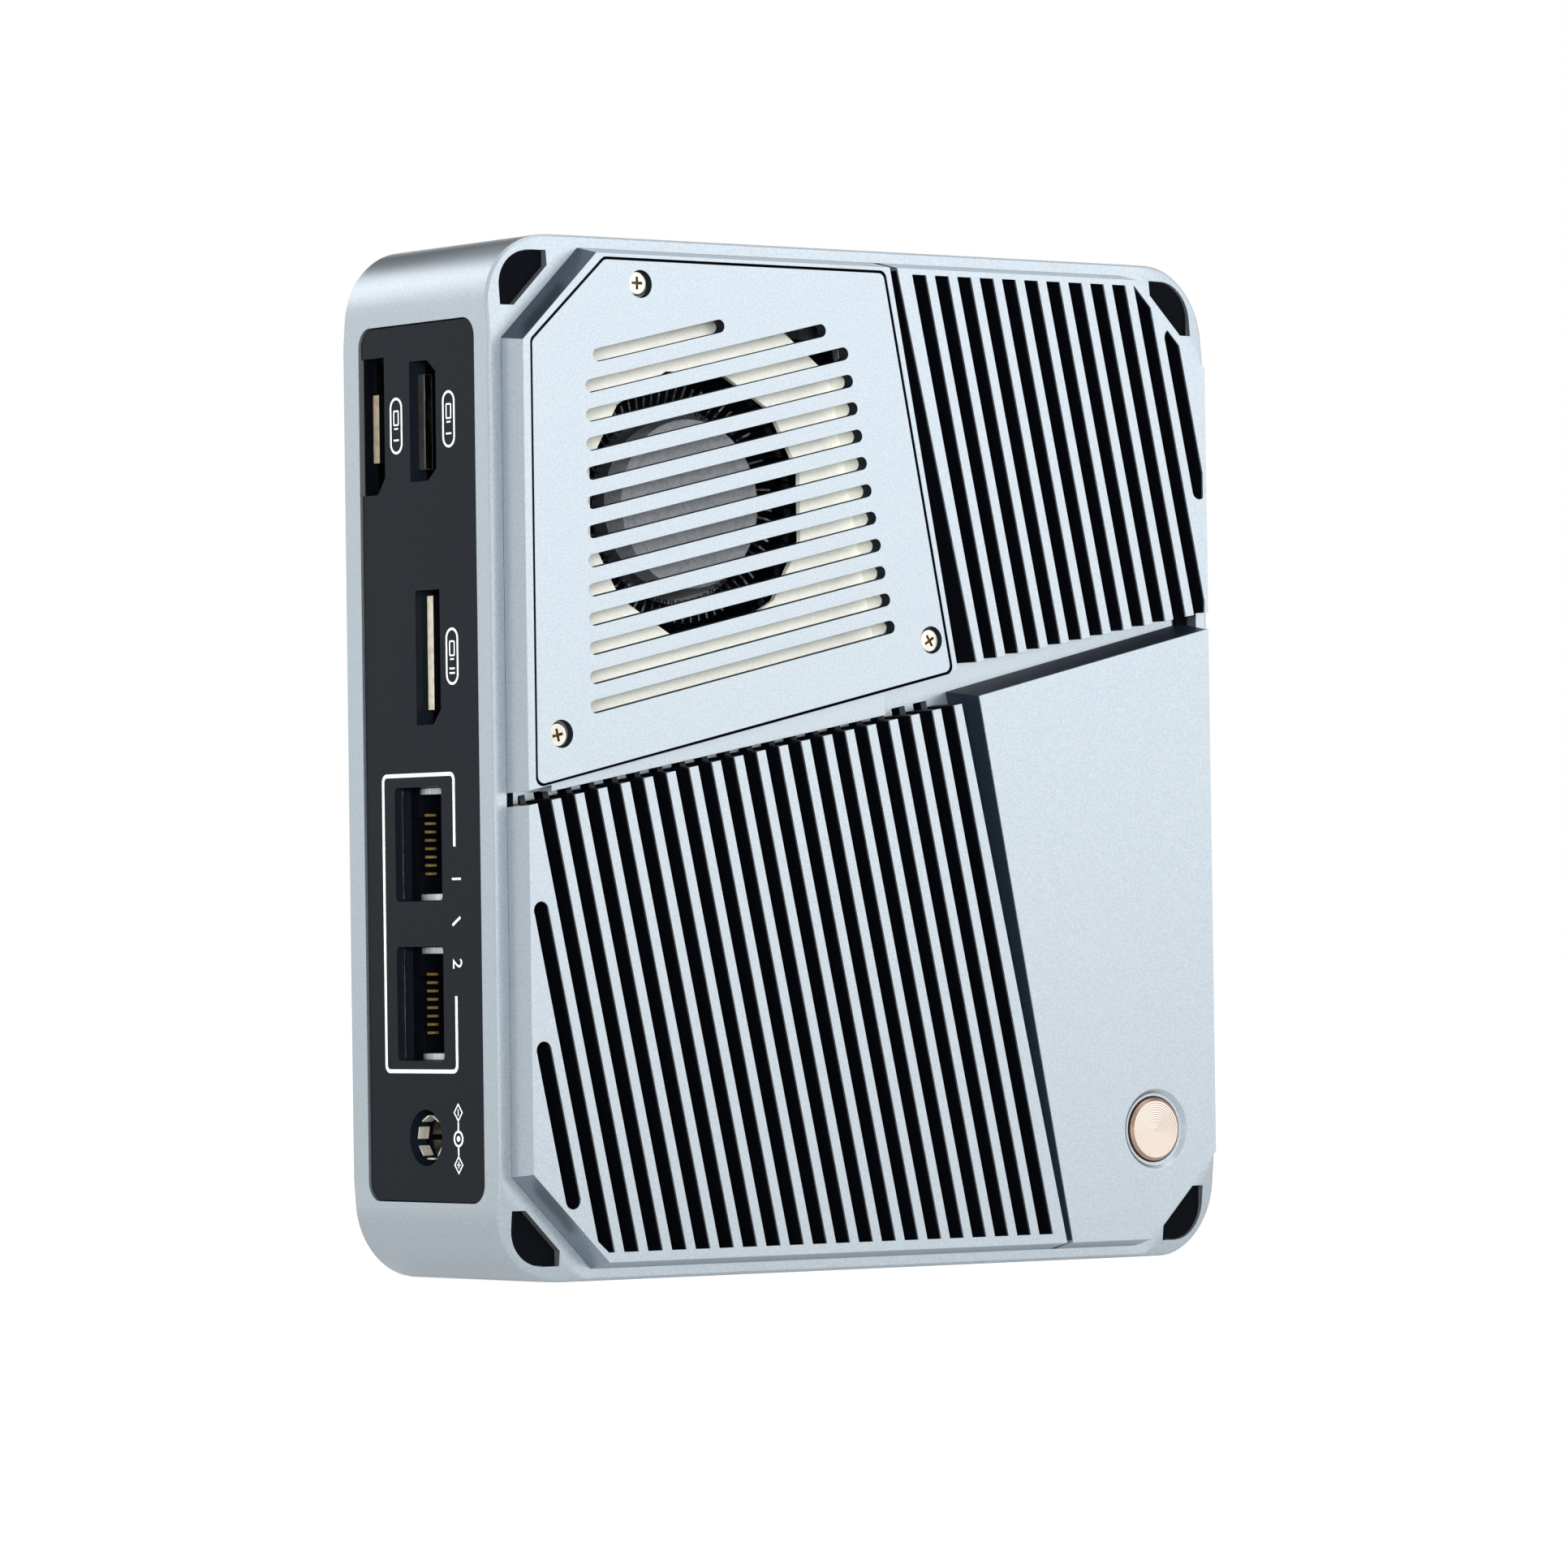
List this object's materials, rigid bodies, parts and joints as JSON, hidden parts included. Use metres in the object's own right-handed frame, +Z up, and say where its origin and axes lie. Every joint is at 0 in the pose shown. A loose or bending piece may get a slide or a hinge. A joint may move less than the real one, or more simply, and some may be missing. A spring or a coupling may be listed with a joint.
{
  "type": "mini pc",
  "caption": "Upright mini computer with a raised face of fins and a slatted fan cover set like a pinwheel, a round power button, and sockets in a dark side panel.",
  "frame": {"origin": "centre of the bottom edge that the computer stands on, halfway between the foremost faces and the back feet", "axes": "+X to the right across the wide face, +Y from the wide face to the back, +Z up"},
  "size_m": [0.112, 0.0356, 0.126],
  "materials": {
    "silver_paint": "satin",
    "black_plastic": "matte",
    "charcoal_panel": "satin",
    "cream_plastic": "matte",
    "beige_plastic": "matte",
    "steel": "satin",
    "nickel": "polished",
    "rose_gold": "satin",
    "contact_gold": "polished",
    "board_black": "satin",
    "aluminium_plate": "satin",
    "copper": "satin",
    "back_paint": "matte",
    "rubber_feet": "matte"
  },
  "bodies": {
    "case": {"audio_jack": "black_plastic", "back_cover": "back_paint", "back_screw_1": "nickel", "back_screw_2": "nickel", "back_screw_3": "nickel", "back_screw_4": "nickel", "blower_bracket": "cream_plastic", "blower_housing": "black_plastic", "button_block": "black_plastic", "button_cell": "steel", "button_panel": "silver_paint", "channel_deck": "silver_paint", "cold_plate": "aluminium_plate", "cover_screw_1": "nickel", "cover_screw_2": "nickel", "cover_screw_3": "nickel", "cpu_package": "black_plastic", "data_port_1": "steel", "data_port_2": "steel", "dc_contact": "contact_gold", "dc_jack": "black_plastic", "fan_bezel": "silver_paint", "fan_cover": "silver_paint", "fin_stack": "aluminium_plate", "foot_1": "rubber_feet", "foot_2": "rubber_feet", "foot_3": "rubber_feet", "foot_4": "rubber_feet", "heat_pipe": "copper", "housing": "silver_paint", "inner_frame": "black_plastic", "io_panel": "charcoal_panel", "lower_grille": "black_plastic", "lower_grille_face": "silver_paint", "mainboard": "board_black", "memory_module": "board_black", "memory_socket": "black_plastic", "network_contacts_1": "contact_gold", "network_contacts_2": "contact_gold", "network_port_1": "steel", "network_port_2": "steel", "port_panel": "charcoal_panel", "power_switch": "black_plastic", "radio_card": "board_black", "small_data_port": "steel", "ssd": "board_black", "stator": "black_plastic", "upper_grille": "black_plastic", "upper_grille_face": "silver_paint", "video_port_1": "steel", "video_port_2": "steel", "video_tongue_1": "beige_plastic", "video_tongue_2": "beige_plastic", "wide_video_port": "steel", "wide_video_tongue": "beige_plastic"},
    "power_button": {"power_cap": "rose_gold", "power_plunger": "black_plastic"},
    "fan_rotor": {"impeller": "black_plastic", "rotor_magnet": "steel", "fan_shaft": "steel"}
  },
  "joints": [
    {"name": "power_press", "type": "slide", "parent": "case", "child": "power_button", "axis": [0, 1, 0], "range_m": [0, 0.0005], "stiffness_N_per_m": 400, "springref_m": -0.0005},
    {"name": "fan_spin", "type": "hinge", "parent": "case", "child": "fan_rotor", "pos_m": [-0.0225, -0.0078, 0.0943], "axis": [0, 1, 0], "continuous": true}
  ]
}
